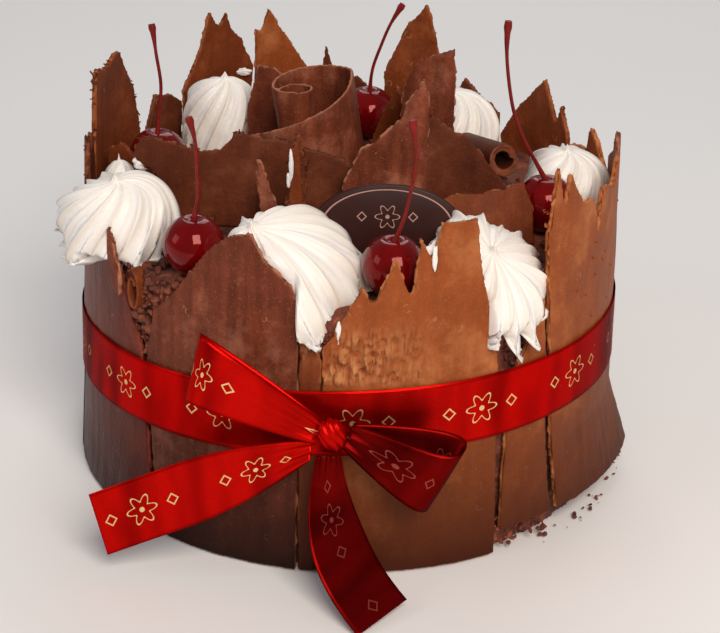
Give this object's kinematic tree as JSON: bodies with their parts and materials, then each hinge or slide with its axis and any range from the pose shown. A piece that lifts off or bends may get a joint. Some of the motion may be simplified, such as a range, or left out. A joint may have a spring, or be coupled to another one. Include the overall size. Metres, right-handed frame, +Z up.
{
  "type": "black forest cake",
  "caption": "Round chocolate cake clad in broken chocolate panels, topped with piped cream, glazed cherries and chocolate shards, with a red satin ribbon and bow.",
  "frame": {"origin": "centre of the cake's foot, on the surface it stands on", "axes": "+Z up, -Y towards the shown side, where the bow is tied, +X to that side's right"},
  "size_m": [0.2253, 0.2553, 0.1813],
  "materials": {
    "crumb": "matt, porous sponge",
    "milk_chocolate": "satin milk chocolate",
    "dark_chocolate": "satin dark chocolate",
    "plaque_chocolate": "smooth dark chocolate",
    "cream": "soft whipped cream",
    "cherry": "glazed, glossy",
    "stem": "matt stem",
    "satin": "satin ribbon"
  },
  "bodies": {
    "root": {"bow_loop_left": "satin", "bow_loop_right": "satin", "bow_tail_front": "satin", "bow_tail_left": "satin", "cake_core": "crumb", "cherry_front": "cherry", "cherry_left": "cherry", "cherry_rear": "cherry", "cherry_rear_left": "cherry", "cherry_right": "cherry", "curl_cone": "milk_chocolate", "curl_small": "dark_chocolate", "panel_front": "milk_chocolate", "panel_front_left": "dark_chocolate", "panel_front_right": "milk_chocolate", "panel_front_sliver": "milk_chocolate", "panel_left": "dark_chocolate", "panel_left_rear": "dark_chocolate", "panel_rear": "dark_chocolate", "panel_rear_blade": "milk_chocolate", "panel_rear_left": "milk_chocolate", "panel_rear_left_tall": "dark_chocolate", "panel_rear_low": "dark_chocolate", "panel_rear_peak": "dark_chocolate", "panel_rear_right": "dark_chocolate", "panel_rear_spike": "milk_chocolate", "panel_right": "milk_chocolate", "panel_right_rear": "milk_chocolate", "panel_right_sliver": "milk_chocolate", "plaque": "plaque_chocolate", "ribbon_band": "satin", "ribbon_knot": "satin", "shard_blade": "milk_chocolate", "shard_chip": "milk_chocolate", "shard_curved": "dark_chocolate", "shard_dark_middle": "dark_chocolate", "shard_left": "dark_chocolate", "shard_long": "dark_chocolate", "shard_plank": "milk_chocolate", "shard_rear_left": "dark_chocolate", "shard_rear_right": "milk_chocolate", "shard_splinter_left": "dark_chocolate", "shard_splinter_right": "milk_chocolate", "shard_triangle": "dark_chocolate", "splinter_outside": "milk_chocolate", "stem_front": "stem", "stem_left": "stem", "stem_rear": "stem", "stem_rear_left": "stem", "stem_right": "stem", "swirl_far_left": "cream", "swirl_front_left": "cream", "swirl_front_right": "cream", "swirl_left": "cream", "swirl_rear_left": "cream", "swirl_rear_right": "cream", "swirl_right": "cream"}
  },
  "joints": []
}
